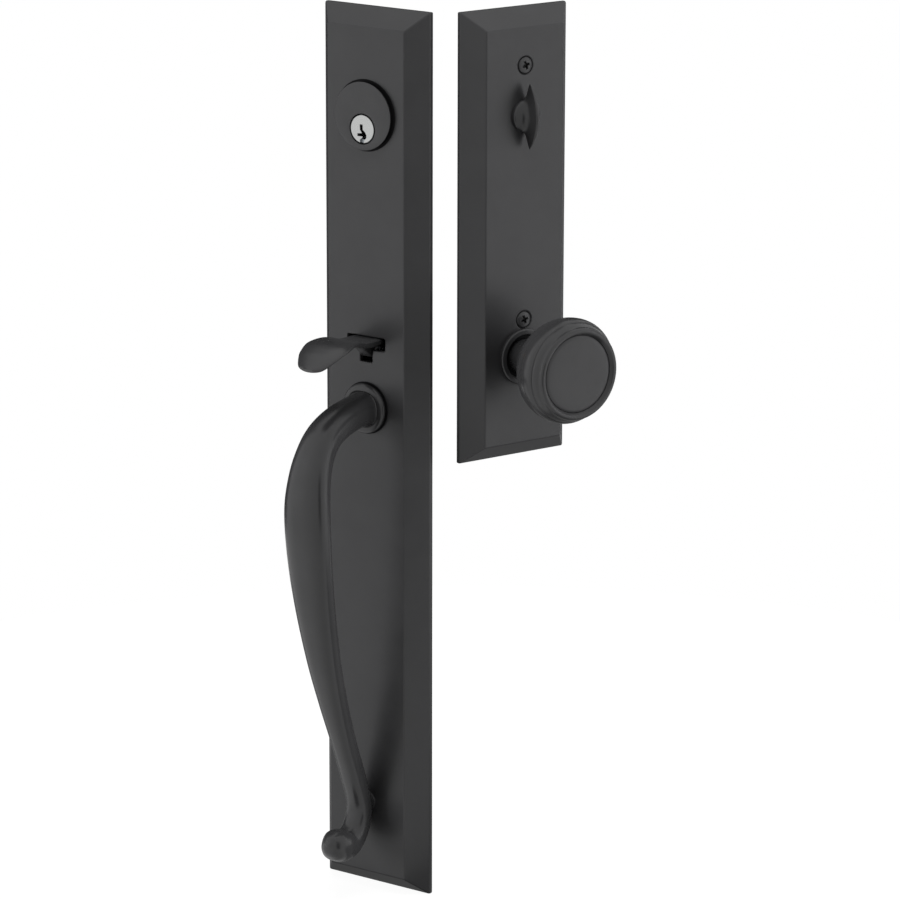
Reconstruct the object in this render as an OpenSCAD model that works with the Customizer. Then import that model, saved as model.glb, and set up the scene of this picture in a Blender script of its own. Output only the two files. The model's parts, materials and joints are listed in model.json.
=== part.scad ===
// Entrance handle set in satin black: a long outside plate with key cylinder, thumb lever and grip, and a
// short inside plate with turn piece and knob, standing beside it. Millimetres, +Z up, latch line at Z = 0.
// Each trim is drawn in its own face frame: x to the right, y up, z out from the door face.

/* [Plates] */
// Width of both plates
plate_w = 74; // [68:1:84]
// Height of the outside plate
ext_h = 526; // [500:1:580]
// Height of the inside plate
int_h = 262.4; // [256:0.2:300]
// Height of both plate tops above the latch line
plate_top = 200.4; // [197:0.2:212]
// Thickness of a plate from the door to its face
plate_t = 14.5; // [14:0.1:17]
// Height of the square edge below the bevel
edge_t = 2.8; // [2:0.1:4]
// Width of the bevel seen from the front
bevel_w = 10.2; // [8:0.1:12]
// Thickness of the front wall
face_wall = 3.2; // [3:0.1:3.8]
// Width of the flat rim that rests on the door
rim_w = 14; // [12:0.1:14.5]

/* [Lock lines] */
// Distance from the latch line up to the deadbolt line
lock_gap = 139.7; // [132:0.1:146]
// Distance between the two through bolts
bolt_gap = 147.7; // [146:0.1:150]
// Height of the lower bolt above the latch line
bolt_low = 20.9; // [20.8:0.1:24]
// Diameter of the through bolts
bolt_d = 5; // [4:0.1:6]
// Length of the bolts behind the door face
bolt_back = 42; // [30:1:48]
// Diameter of the bolt heads
head_d = 9.4; // [8.6:0.1:10.4]
// Length of the threaded posts behind the door face
post_back = 18; // [12:1:24]

/* [Key cylinder] */
// Diameter of the cylinder cap
cap_d = 39.4; // [39:0.2:44]
// Height of the cap above the plate face
cap_t = 3.2; // [2.8:0.1:4.5]
// Diameter of the cylinder barrel
body_d = 29.2; // [28.8:0.1:30.4]
// Length of the barrel behind the door face
body_back = 22; // [16:1:30]
// Diameter of the key plug
plug_d = 12; // [11:0.1:12.4]
// Distance of the plug centre below the cylinder centre
plug_drop = 7.5; // [6.8:0.1:7.6]
// Diameter of the plug face
plug_head_d = 16; // [15:0.1:17]
// Diameter of the lock pins
pin_d = 2.8; // [2.4:0.1:3]
// Distance from one pin to the next
pin_pitch = 3.8; // [3.5:0.1:4]
// Length of both tailpieces behind the door face
tail_back = 40; // [34:1:44]

/* [Thumb lever] */
// Distance of the lever tip from the door face
lever_reach = 69.8; // [62:0.2:80]
// Greatest width of the thumb paddle
lever_w = 30.6; // [26:0.2:34]
// Width of the lever at the plate
lever_neck_w = 20.6; // [19:0.2:22]
// Thickness of the thumb paddle
lever_t = 3.6; // [3.2:0.1:4]
// Height of the paddle's crown above the lever's neck
lever_rise = 3.7; // [2:0.1:5]
// Drop of the paddle's tip below the lever's neck
lever_drop = 7.2; // [5:0.1:9]
// Diameter of the pivot pin
pivot_d = 4; // [3:0.1:4.4]
// Travel of the lever in degrees
lever_travel = 16; // [10:1:16]
// Wire diameter of the lever spring
lever_wire = 1.1; // [0.8:0.1:1.1]

/* [Grip] */
// Distance of the upper grip screw below the latch line
grip_top = 31.5; // [30.5:0.5:40]
// Distance from the upper grip screw to the foot
grip_len = 239.5; // [210:0.5:246]
// Distance of the grip centre line from the door face at its furthest
grip_reach = 71.8; // [62:0.1:84]
// Greatest width of the grip
grip_w = 29.2; // [25:0.2:33]
// Greatest thickness of the grip
grip_t = 17; // [15:0.2:19]
// Diameter of the grip flange
flange_d = 29.6; // [27:0.2:33]
// Height of the grip flange above the plate face
flange_t = 4.2; // [3.4:0.1:5]

/* [Turn piece] */
// Height of the turn piece
turn_h = 37.6; // [32:0.2:42]
// Thickness of its thin leaf at the front edge
turn_w = 2.4; // [2:0.1:4]
// Diameter of its round base
turn_base_d = 19; // [17.4:0.2:22]
// Distance of its front from the door face
turn_reach = 27.8; // [23:0.1:30]
// Drop of the front edge towards its two tips
turn_drop = 8.1; // [3:0.1:10]

/* [Knob] */
// Greatest diameter of the knob
knob_d = 61.2; // [57:0.2:66]
// Distance of the knob front from the door face
knob_reach = 68.9; // [64:0.1:78]
// Diameter of the knob neck
neck_d = 21; // [20.4:0.1:22.4]
// Drop of the knob's axis below the latch line
knob_drop = 0.8; // [0:0.1:2]
// Diameter of the rose ring
rose_d = 33; // [31.4:0.2:36]
// Side of the square spindle
spindle_s = 8; // [7:0.1:8.2]
// Length of the spindle behind the door face
spindle_back = 40; // [34:1:44]
// Wire diameter of the return spring
return_wire = 1; // [0.8:0.1:1]

/* [Layout] */
// Angle between the two trims as they stand
stand_angle = 70.5; // [60:0.5:85]
// Place of the inside trim to the right
stand_x = 60; // [58:0.2:80]
// Place of the inside trim to the back
stand_y = 43; // [40:0.2:60]

/* [Clearances] */
// Radial gap of a running fit
run_gap = 0.06; // [0.03:0.01:0.1]
// Radial gap of a seated fit
seat_gap = 0.05; // [0.02:0.01:0.1]
// Radial gap of a bolt in its hole
hole_gap = 0.25; // [0.15:0.05:0.4]
// Gap between a moving face and a fixed one
face_gap = 0.3; // [0.2:0.05:0.4]

/* [Hidden] */
$fn = 96;
hollow = plate_t - face_wall;
hollow_w = plate_w - 2 * rim_w;
bolts = [bolt_low + bolt_gap, bolt_low];
bolt_r = bolt_d / 2;
post_r = bolt_r + 2.5;
cap_head_t = cap_t / 2 - 0.1;
body_r = body_d / 2;
lip_r = body_r + 1.9;
plug_y = lock_gap - plug_drop;
pins = [0, 1, 2, 3, 4];
pin_front = hollow - 3.4;
pin_top = body_r - 3;
driver_low = plug_d / 2 + run_gap + 0.03 - plug_drop;
driver_len = 5;
slot_w = lever_neck_w + 6;
pivot_y = 2.8;
pivot_z = hollow - 4.9;
lever_y = pivot_y + 5.75;
slot_low = pivot_y + 4 * cos(lever_travel) - (plate_t - pivot_z) * sin(lever_travel) - 1.2;
slot_high = lever_y + 2.3;
notch_w = 8.6;
notch_low = pivot_y - 7.1;
web_w = notch_w - 1.4;
hub_r = pivot_d / 2 + 2.4;
ear_x = slot_w / 2 + 0.5;
ear_t = 2;
bridge_y = slot_high + 0.5;
bridge_t = 1.5;
box_low = -14;
tab_h = 8;
screw_x = ear_x - 4;
screw_y = box_low - tab_h / 2;
screw_r = 1.5;
lever_tail = 22;
coil_r = pivot_d / 2 + 1.4;
coil_pitch = lever_wire + 0.5;
coil_turns = 3.75;
coil_x = 6;
foot_y = -grip_top - grip_len;
grip_base = plate_t + flange_t;
grip_bolt_r = 3;
grip_bolt_in = 14.5;
foot_bolt_r = 2.5;
foot_bolt_in = 7.5;
turn_base = plate_t + face_gap;
turn_pin_r = 4;
turn_bush_r = turn_pin_r + 2.5;
turn_pin_in = 1.9;
neck_r = neck_d / 2;
knob_bush_r = neck_r + 2.1;
neck_end = hollow - 2.8;
shank_r = neck_r - 2.5;
shank_flat = shank_r - 1;
shank_end = neck_end - 7.7;
spring_r = neck_r + 2.1;
spring_pitch = return_wire + 0.45;
arm_x = spring_r - return_wire / 2 - 0.1;
arm_in = spring_r + return_wire / 2 + 0.7;
stop_y = sqrt(pow(arm_x, 2) + pow(arm_in + 1.8, 2)) - 0.2;
knob_r = knob_d / 2;
set_screw_r = 2.5;
set_screw_z = 24;
spindle_front = 34;
knob_k = knob_reach - 68.9;
hub_r2 = neck_r + 2;

black = [0.09, 0.09, 0.095];
brass = [0.72, 0.57, 0.3];
steel = [0.62, 0.63, 0.65];
nickel = [0.78, 0.77, 0.74];
nylon = [0.85, 0.84, 0.8];

// Puts a face frame on the outside of the door
module outside() {
  rotate([90, 0, 0]) children();
}

// Puts a face frame where the inside trim stands
module inside() {
  translate([stand_x, stand_y, 0]) rotate([0, 0, stand_angle]) rotate([90, 0, 0]) children();
}

// Puts a face frame on the knob's axis
module knob_line() {
  inside() translate([0, -knob_drop, 0]) children();
}

// A round bar along the face normal from depth a to depth b
module bar(y, r, a, b) {
  translate([0, y, a]) cylinder(r = r, h = b - a);
}

// A block given by its two corners
module block(a, b) {
  translate(a) cube(b - a);
}

// A ring along the face normal
module ring(y, ri, ro, a, b) {
  difference() {
    bar(y, ro, a, b);
    bar(y, ri, a - 1, b + 1);
  }
}

// A turned piece from a profile of radius and depth
module turned(y, profile) {
  translate([0, y, 0]) rotate_extrude() polygon(profile);
}

// Points of an arc round c
function arc(c, r, a0, a1, n) =
  [for (i = [0:n]) let (f = a0 + (a1 - a0) * i / n) c + r * [cos(f), sin(f)]];

// A point of a smooth curve through four stations
function curve_point(a, b, c, d, t) =
  0.5 * (2 * b + (c - a) * t + (2 * a - 5 * b + 4 * c - d) * t * t + (3 * b - a - 3 * c + d) * t * t * t);

// A smooth curve through stations p with n steps between each two
function curve(p, n) = concat(
  [for (i = [0:len(p) - 2]) for (j = [0:n - 1])
    curve_point(p[max(i - 1, 0)], p[i], p[i + 1], p[min(i + 2, len(p) - 1)], j / n)],
  [p[len(p) - 1]]);

// A closed skin over rings of points that run anticlockwise seen from the far end
module skin(rings) {
  n = len(rings[0]);
  m = len(rings);
  sides = [for (i = [0:m - 2]) for (k = [0:n - 1]) let (a = i * n + k, b = i * n + (k + 1) % n)
    each [[a, a + n, b + n], [a, b + n, b]]];
  low = [for (k = [0:n - 1]) k];
  high = [for (k = [0:n - 1]) (m - 1) * n + n - 1 - k];
  polyhedron(points = [for (r = rings) each r], faces = concat(sides, [low, high]));
}

// A bar along a curve in the upright plane: stations are depth, height, half width, half thickness
module sweep(st, sides, power) {
  m = len(st);
  rings = [for (i = [0:m - 1]) let (
    a = st[max(i - 1, 0)],
    b = st[min(i + 1, m - 1)],
    t = [b[0] - a[0], b[1] - a[1]] / norm([b[0] - a[0], b[1] - a[1]]),
    s = st[i])
    [for (k = [0:sides - 1]) let (
      f = 360 * k / sides,
      c = sign(cos(f)) * pow(abs(cos(f)), 2 / power) * s[2],
      e = sign(sin(f)) * pow(abs(sin(f)), 2 / power) * s[3])
      [c, s[1] + e * t[0], s[0] - e * t[1]]]];
  skin(rings);
}

// A wire: each step is a centre, an outward direction and an axis direction
module wire(steps, r, sides) {
  skin([for (s = steps) [for (k = [0:sides - 1])
    s[0] + r * (cos(360 * k / sides) * s[1] + sin(360 * k / sides) * s[2])]]);
}

// Outline of a bevelled plate between two edges
function bevelled(a, b) =
  [[a, 0], [b, 0], [b, edge_t], [b - bevel_w, plate_t], [a + bevel_w, plate_t], [a, edge_t]];

// A plate with mitred bevels on all four sides and a hollow back
module plate(h) {
  low = plate_top - h;
  difference() {
    intersection() {
      translate([0, plate_top, 0]) rotate([90, 0, 0]) linear_extrude(h)
        polygon(bevelled(-plate_w / 2, plate_w / 2));
      translate([-plate_w / 2, 0, 0]) rotate([90, 0, 90]) linear_extrude(plate_w)
        polygon(bevelled(low, plate_top));
    }
    block([-hollow_w / 2, low + rim_w, -1], [hollow_w / 2, plate_top - rim_w, hollow]);
  }
}

// A boss inside the hollow of a plate
module boss(y, r) {
  bar(y, r, 1, hollow + 0.5);
}

module exterior_plate() {
  color(black) outside() difference() {
    union() {
      plate(ext_h);
      for (y = bolts) boss(y, post_r + 1.7);
    }
    for (y = bolts) bar(y, post_r + seat_gap, -1, hollow);
    bar(lock_gap, body_r + seat_gap, -1, plate_t + 1);
    block([-slot_w / 2, slot_low, hollow - 1], [slot_w / 2, slot_high, plate_t + 1]);
    block([-notch_w / 2, notch_low, hollow - 1], [notch_w / 2, slot_low + 1, plate_t + 1]);
    for (x = [-screw_x, screw_x]) translate([x, 0, 0])
      bar(screw_y, screw_r + seat_gap, hollow - 1, hollow + 2.2);
    bar(-grip_top, grip_bolt_r + hole_gap, hollow - 1, plate_t + 1);
    bar(foot_y, foot_bolt_r + hole_gap, hollow - 1, plate_t + 1);
  }
}

module cylinder_cap() {
  head = lip_r + seat_gap;
  front = plate_t + cap_t;
  color(black) outside() difference() {
    turned(lock_gap, concat(
      [[0, plate_t + cap_head_t], [head, plate_t + cap_head_t], [head, plate_t], [cap_d / 2 - 1.2, plate_t]],
      [[cap_d / 2 - 1.2, plate_t + 1.2], [cap_d / 2, plate_t + 1.3]],
      arc([cap_d / 2 - 0.9, front - 0.9], 0.9, 0, 90, 6),
      [[0, front]]));
    bar(plug_y, plug_head_d / 2 + 0.7, plate_t, front + 1);
  }
}

module cylinder_body() {
  color(steel) outside() difference() {
    union() {
      bar(lock_gap, body_r, -body_back, plate_t);
      bar(lock_gap, lip_r, plate_t, plate_t + cap_head_t);
    }
    bar(plug_y, plug_d / 2 + run_gap, -body_back - 1, front_of_body() + 1);
    for (i = pins) translate([0, plug_y, pin_front - i * pin_pitch]) rotate([-90, 0, 0])
      cylinder(r = pin_d / 2 + seat_gap, h = 40);
    block([-pin_d / 2 - 0.8, lock_gap + pin_top, pin_back() - 2.6],
      [pin_d / 2 + 0.8, lock_gap + body_d, pin_front + 2.6]);
  }
}

// Depth of the front of the cylinder body and of the hindmost pin
function front_of_body() = plate_t + cap_head_t;
function pin_back() = pin_front - 4 * pin_pitch;

module cylinder_nut() {
  color(brass) outside() difference() {
    ring(lock_gap, body_r + seat_gap, body_r + 4, hollow - 4.2, hollow);
    for (a = [0, 180]) translate([0, lock_gap, 0]) rotate([0, 0, a])
      block([body_r + 1.6, -1.6, hollow - 5], [body_d, 1.6, hollow - 1.8]);
  }
}

module cylinder_plug() {
  k = plug_d / 12;
  color(nickel) outside() difference() {
    union() {
      bar(plug_y, plug_d / 2, -body_back - 0.4, front_of_body() + 0.15);
      bar(plug_y, plug_head_d / 2, front_of_body() + 0.1, plate_t + cap_t);
    }
    translate([0, plug_y, 1 - body_back / 2]) linear_extrude(60) polygon(k * [
      [-1.7, 2.6], [0.2, 2.6], [0.3, -0.4], [2, -1.8], [2.8, -3.2], [2.8, -4.8], [1.2, -6.6], [0.9, -10],
      [-1.6, -10], [-1.6, -6.2], [-0.1, -5], [0.3, -4.2], [-3.4, -4.3], [-3.4, -2.8], [-0.2, -2.4], [-1.6, -0.6]]);
    for (i = pins) translate([0, plug_y + 0.5, pin_front - i * pin_pitch]) rotate([-90, 0, 0])
      cylinder(r = pin_d / 2 + seat_gap, h = 10);
  }
}

module key_pins() {
  color(brass) outside() for (i = pins) {
    len = plug_d / 2 - 3.2 + 0.3 * ((i * 3) % 5);
    translate([0, plug_y + plug_d / 2 - 0.2 - len, pin_front - i * pin_pitch]) rotate([-90, 0, 0]) {
      cylinder(r = pin_d / 2, h = len);
    }
  }
}

module driver_pins() {
  color(brass) outside() for (i = pins)
    translate([0, lock_gap + driver_low, pin_front - i * pin_pitch]) rotate([-90, 0, 0])
      cylinder(r = pin_d / 2, h = driver_len);
}

module pin_springs() {
  low = driver_low + driver_len + 0.05;
  color(steel) outside() for (i = pins)
    translate([0, lock_gap + low, pin_front - i * pin_pitch]) rotate([-90, 0, 0]) difference() {
      cylinder(r = pin_d / 2 - 0.1, h = pin_top - low);
      translate([0, 0, -1]) cylinder(r = pin_d / 2 - 0.5, h = 40);
    }
}

module pin_cover() {
  color(brass) outside() block(
    [-pin_d / 2 - 0.75, lock_gap + pin_top + 0.05, pin_back() - 2.55],
    [pin_d / 2 + 0.75, lock_gap + body_r - 0.4, pin_front + 2.55]);
}

module plug_retainer() {
  back = -body_back - 0.4;
  color(steel) outside() difference() {
    bar(plug_y, plug_d / 2 + 1.5, back - 3.2, back);
    block([-1.15, plug_y - 3.25, back - 4], [1.15, plug_y + 3.25, back + 1]);
  }
}

module cylinder_tailpiece() {
  color(steel) outside() block([-1.1, plug_y - 3.2, -tail_back], [1.1, plug_y + 3.2, -body_back - 0.4]);
}

// Stations of the thumb lever from inside the plate to its tip
function lever_line() = let (
  r = lever_reach - plate_t,
  w = lever_w / 2,
  n = lever_neck_w / 2,
  s = function (out, up, a, t) [plate_t + out * r, lever_y + up, a, t * lever_t / 2])
  [[hollow - 2.6, lever_y, n - 1.2, 0.89 * lever_t / 2], s(0, 0, n, 0.97),
    s(0.244, 0.14 * lever_rise, n + 0.3, 1),
    s(0.461, lever_rise, w * 0.835, 1), s(0.642, 0.79 * lever_rise, w, 0.97),
    s(0.787, -0.05 * lever_rise, w * 0.93, 0.94), s(0.866, -0.37 * lever_drop, w * 0.81, 0.89),
    s(0.959, -0.875 * lever_drop, w * 0.565, 0.84), s(0.998, -lever_drop, w * 0.25, 0.61)];

module thumb_lever() {
  color(black) outside() difference() {
    union() {
      sweep(curve(lever_line(), 4), 28, 2.5);
      translate([-5, pivot_y, pivot_z]) rotate([0, 90, 0]) cylinder(r = hub_r, h = 10);
      translate([-web_w / 2, 0, 0]) rotate([90, 0, 90]) linear_extrude(web_w) polygon([
        [pivot_y - 4, pivot_z], [pivot_y - 4, plate_t - 1], [pivot_y + 1, plate_t + 5],
        [lever_y, plate_t + 10], [lever_y, pivot_z]]);
      block([-web_w / 2, pivot_y - 2.2, -lever_tail], [web_w / 2, pivot_y + 2.2, pivot_z]);
    }
    translate([-9, pivot_y, pivot_z]) rotate([0, 90, 0]) cylinder(r = pivot_d / 2 + run_gap, h = 18);
  }
}

module lever_pin() {
  color(steel) outside() translate([0, pivot_y, pivot_z]) rotate([0, 90, 0]) {
    cylinder(r = pivot_d / 2, h = 2 * (ear_x + ear_t) + 2, center = true);
    for (s = [-1, 1]) translate([0, 0, s * (ear_x + ear_t + 0.6)])
      cylinder(r = pivot_d / 2 + 0.8, h = 1.2, center = true);
  }
}

module lever_bracket() {
  color(steel) outside() difference() {
    union() {
      for (s = [0, 1]) mirror([s, 0, 0])
        block([ear_x, box_low, 0.3], [ear_x + ear_t, bridge_y + bridge_t, hollow]);
      block([-ear_x - ear_t, box_low - tab_h, hollow - ear_t], [ear_x + ear_t, box_low + bridge_t, hollow]);
      block([-ear_x - 1, bridge_y, 0.3], [ear_x + 1, bridge_y + bridge_t, hollow - 0.3]);
      block([-ear_x - 1, box_low, 0.3], [ear_x + 1, box_low + bridge_t, hollow - 0.3]);
      block([-ear_x - 1, box_low, 0.3], [ear_x + 1, bridge_y + bridge_t, 1.5]);
    }
    block([-web_w / 2 - 0.8, pivot_y - 2.8, -1],
      [web_w / 2 + 0.8, pivot_y + 2.9 + pivot_z * tan(lever_travel), 3]);
    translate([-40, pivot_y, pivot_z]) rotate([0, 90, 0]) cylinder(r = pivot_d / 2 + seat_gap, h = 80);
    for (x = [-screw_x, screw_x]) translate([x, 0, 0])
      bar(screw_y, screw_r + seat_gap, hollow - 3, hollow + 1);
  }
}

module bracket_screws() {
  color(steel) outside() for (x = [-screw_x, screw_x]) translate([x, screw_y, 0]) difference() {
    union() {
      bar(0, screw_r, hollow - 2.5, hollow + 2);
      bar(0, screw_r + 1.2, hollow - 4, hollow - 2);
    }
    block([-3, -0.35, hollow - 5], [3, 0.35, hollow - 3.2]);
  }
}

// Steps of the lever spring: a leg under the lever, the coil round the pin, a leg under the bracket bridge
function lever_coil() = let (
  n = 12,
  last = coil_turns * n,
  at = function (i) 90 + 360 * i / n,
  out = function (f) [0, sin(f), cos(f)],
  end_x = coil_x + coil_pitch * coil_turns)
  concat(
    [[[coil_x, pivot_y + coil_r, pivot_z + 4.4], out(90), [1, 0, 0]]],
    [for (i = [0:last]) let (o = out(at(i)))
      [[coil_x + coil_pitch * i / n, pivot_y, pivot_z] + coil_r * o, o, [1, 0, 0]]],
    [[[end_x, bridge_y - 0.2, pivot_z + coil_r], out(0), [1, 0, 0]]]);

module lever_spring() {
  color(steel) outside() wire(lever_coil(), lever_wire / 2, 8);
  echo(lever_spring_least_gap = coil_pitch - lever_wire);
}

// Stations of the grip from the flange down to its curled tip
function grip_line() = let (
  w = grip_w / 29.2,
  t = grip_t / 17,
  r = grip_reach - grip_base,
  l = grip_len / 238,
  s = function (out, down, a, b) [grip_base + out * r, -grip_top - down * l, a * w, b * t])
  [s(-0.03, 0, 11, 10.8), s(0.06, 0.1, 9.9, 9.6), s(0.24, 1, 9.8, 9.3), s(0.49, 4, 10.2, 9.2),
    s(0.706, 9.6, 10.7, 9),
    s(0.852, 18.6, 11.6, 8.8), s(0.946, 31, 13.1, 8.6), s(0.99, 49, 14.6, 8.5), s(0.96, 75, 14.4, 8.2),
    s(0.866, 107, 12.8, 7.8), s(0.715, 141, 10.6, 7.3), s(0.546, 169, 8.8, 6.8), s(0.348, 197, 7.4, 6.4),
    s(0.182, 220, 7.5, 6.3), s(0.075, 238, 7.7, 6.4), s(0.135, 251, 8, 6.8), s(0.285, 258.3, 8.6, 8),
    s(0.445, 258, 9.6, 9.6), s(0.55, 255.8, 8.3, 8.5), s(0.62, 254.2, 5.1, 5.3), s(0.65, 253.6, 1.7, 1.8)];

module grip() {
  color(black) outside() difference() {
    union() {
      sweep(curve(grip_line(), 3), 28, 2.4);
      bar(foot_y, 5.4, plate_t, grip_base + 3);
    }
    bar(-grip_top, flange_d, plate_t, grip_base);
    bar(-grip_top, grip_bolt_r + seat_gap, plate_t, grip_base + grip_bolt_in + 0.5);
    bar(foot_y, foot_bolt_r + seat_gap, plate_t - 1, plate_t + foot_bolt_in + 0.5);
  }
}

module grip_flange() {
  r = flange_d / 2;
  top = grip_base;
  color(black) outside() turned(-grip_top, concat(
    [[grip_bolt_r + hole_gap, plate_t], [r - 1, plate_t]],
    arc([r - 1.9, plate_t + 2.1], 1.9, -60, 80, 7),
    [[r - 2.6, top]],
    [[grip_bolt_r + hole_gap, top]]));
}

module grip_screws() {
  color(steel) outside() {
    upper = [-grip_top, grip_bolt_r, grip_base + grip_bolt_in];
    lower = [foot_y, foot_bolt_r, plate_t + foot_bolt_in];
    for (g = [upper, lower]) difference() {
      union() {
        bar(g[0], g[1], hollow - 1, g[2]);
        bar(g[0], g[1] + 2.5, hollow - 4, hollow);
      }
      translate([0, g[0], hollow - 5]) cylinder(r = g[1] * 0.8, h = 3, $fn = 6);
    }
  }
}

module mounting_posts() {
  color(brass) outside() for (y = bolts) difference() {
    bar(y, post_r, -post_back, hollow);
    bar(y, bolt_r - 0.4, -post_back - 1, -2);
  }
}

module interior_plate() {
  color(black) inside() difference() {
    union() {
      plate(int_h);
      for (y = bolts) boss(y, bolt_r + 3.2);
      for (s = [-1, 1]) translate([s * (arm_x - 1.5), -knob_drop, 0])
        bar(-stop_y - 1.6, 1.4, 1, hollow + 0.5);
    }
    for (y = bolts) {
      bar(y, bolt_r + hole_gap, -1, plate_t + 1);
      translate([0, y, plate_t - 2.5]) cylinder(r1 = bolt_r + hole_gap, r2 = head_d / 2 + 0.15, h = 2.5);
      bar(y, head_d / 2 + 0.6, plate_t - 0.7, plate_t + 1);
    }
    bar(lock_gap, turn_bush_r + seat_gap, hollow - 1, plate_t + 1);
    bar(-knob_drop, knob_bush_r + seat_gap, hollow - 1, plate_t + 1);
  }
}

module through_bolts() {
  r = bolt_r;
  h = head_d / 2;
  shank = r + 0.1;
  color(black) inside() for (y = bolts) difference() {
    turned(y, concat(
      [[0, -bolt_back], [r - 0.6, -bolt_back], [r, 0.6 - bolt_back], [r, -0.6], [shank, -0.5]],
      [[shank, plate_t - 2.4], [h, plate_t - 0.1]],
      [for (i = [1:6]) [h * cos(15 * i), plate_t - 0.1 + 1.1 * sin(15 * i)]]));
    for (a = [0, 90]) translate([0, y, plate_t - 1.3]) rotate([0, 0, a + 20])
      block([-2.4, -0.7, 0], [2.4, 0.7, 4]);
  }
}

// Front depth of the turn piece at height fraction f
function turn_front(f) = turn_reach - turn_drop * f * f;

// Shape of the turn piece from its round base to its leaf's front edge: depth fraction, then how much of the
// base's extra width is left and how much of the leaf's extra height is reached
turn_shape = [
  [0, 1, 0], [0.12, 0.97, 0], [0.19, 0.92, 0.01], [0.22, 0.82, 0.03], [0.26, 0.42, 0.1], [0.295, 0.04, 0.2],
  [0.32, 0, 0.27], [0.44, 0, 0.48], [0.58, 0, 0.65], [0.72, 0, 0.79], [0.86, 0, 0.9], [1, 0, 1]];

// One ring of the turn piece
function turn_ring(q, n) = let (
  u = q[0],
  h = turn_base_d / 2 + (turn_h - turn_base_d) / 2 * q[2],
  w = turn_w / 2 + (turn_base_d - turn_w) / 2 * q[1],
  p = 1 + u / 2)
  [for (k = [0:n - 1]) let (c = cos(360 * k / n), s = sin(360 * k / n))
    [sign(c) * pow(abs(c), p) * w, s * h, turn_base + u * (turn_front(s) - turn_base)]];

module turn_solid() {
  n = 32;
  m = len(turn_shape);
  sides = [for (i = [0:m - 2]) for (k = [0:n - 1]) let (a = i * n + k, b = i * n + (k + 1) % n)
    each [[a, a + n, b + n], [a, b + n, b]]];
  top = (m - 1) * n;
  right = function (j) top + (j + n) % n;
  left = function (j) top + (n / 2 - j + n) % n;
  front = [for (j = [-n / 4:n / 4 - 1]) each concat(
    j > -n / 4 ? [[right(j), left(j), left(j + 1)]] : [],
    j < n / 4 - 1 ? [[right(j), left(j + 1), right(j + 1)]] : [])];
  polyhedron(
    points = [for (q = turn_shape) each turn_ring(q, n)],
    faces = concat(sides, front, [[for (k = [0:n - 1]) k]]));
}

module turn_piece() {
  color(black) inside() difference() {
    translate([0, lock_gap, 0]) turn_solid();
    bar(lock_gap, turn_pin_r + seat_gap, plate_t, turn_base + turn_pin_in + 0.1);
  }
}

module turn_spindle() {
  color(steel) inside() difference() {
    union() {
      bar(lock_gap, turn_pin_r, 3, turn_base + turn_pin_in);
      block([-3, lock_gap - 1.2, -tail_back], [3, lock_gap + 1.2, 3.1]);
    }
    ring(lock_gap, turn_pin_r - 0.8, turn_pin_r + 1, hollow - 4.3, hollow - 3.3);
  }
}

module turn_bush() {
  color(nylon) inside() {
    ring(lock_gap, turn_pin_r + run_gap, turn_bush_r, hollow - 1.9, plate_t);
    ring(lock_gap, turn_bush_r - 0.5, turn_bush_r + 1.7, hollow - 1.9, hollow);
  }
}

module turn_washer() {
  color(steel) inside() ring(lock_gap, turn_pin_r + 0.4, turn_pin_r + 3.8, hollow - 3.1, hollow - 1.95);
}

module turn_clip() {
  color(steel) inside() difference() {
    ring(lock_gap, turn_pin_r - 0.75, turn_pin_r + 2.8, hollow - 4.25, hollow - 3.35);
    block([-2.2, lock_gap - 20, hollow - 6], [2.2, lock_gap, hollow]);
  }
}

module knob_shell() {
  k = knob_k;
  r = knob_r - 30.6;
  neck_top = 32 + k * 0.5;
  hole = spindle_s / 2 + 0.1;
  color(black) knob_line() difference() {
    turned(0, concat(
      [[0, shank_end], [shank_r, shank_end], [shank_r, neck_end], [neck_r, neck_end], [neck_r, neck_top]],
      [[neck_r + 0.5, neck_top + 1.6], [neck_r + 1.8, neck_top + 2.9], [neck_r + 4, neck_top + 3.5]],
      [[19.2 + r, 35.6 + k]],
      arc([19.6 + r, 36.9 + k], 1.3, -90, 30, 5),
      [[22.6 + r, 39 + k], [24.7 + r, 41.7 + k], [26.8 + r, 44.7 + k], [28.5 + r, 47.8 + k]],
      [[29.6 + r, 51 + k], [30.3 + r, 54.2 + k], [30.6 + r, 57.4 + k], [30.35 + r, 60 + k]],
      [[29.5 + r, 62 + k], [29 + r, 62.3 + k], [28.7 + r, 63.4 + k], [28 + r, 64.8 + k]],
      [[27.2 + r, 66 + k]],
      arc([24.9 + r, 67 + k], 1.9, 0, 165, 9),
      [[22.6 + r, 66.6 + k], [22.6 + r, 64.6 + k], [19.6 + r, 64.6 + k], [19.6 + r, 62.2 + k]],
      [[24.9 + r, 59.4 + k], [25.6 + r, 55 + k]],
      [[23.4 + r, 46.6 + k], [19 + r, 41.6 + k], [12, 39.2 + k], [0, 39.2 + k]]));
    block([-hole, -hole, shank_end - 1], [hole, hole, spindle_front + 0.2]);
    for (s = [0, 1]) mirror([s, 0, 0])
      block([shank_flat, -20, shank_end - 1], [shank_flat + 20, 20, neck_end]);
    ring(0, shank_r - 1.1, shank_r + 2, neck_end - 4.3, neck_end - 3.1);
    translate([0, 0, set_screw_z]) rotate([90, 0, 0]) cylinder(r = set_screw_r + seat_gap, h = 40);
  }
}

module knob_face() {
  r = knob_r - 30.6 + 22.6 - 0.25;
  color(black) knob_line() turned(0, [[0, 64.6 + knob_k], [r, 64.6 + knob_k], [r, 66.6 + knob_k],
    [r - 0.95, 67.5 + knob_k], [r - 5, 67.65 + knob_k], [0, 67.8 + knob_k]]);
}

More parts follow.
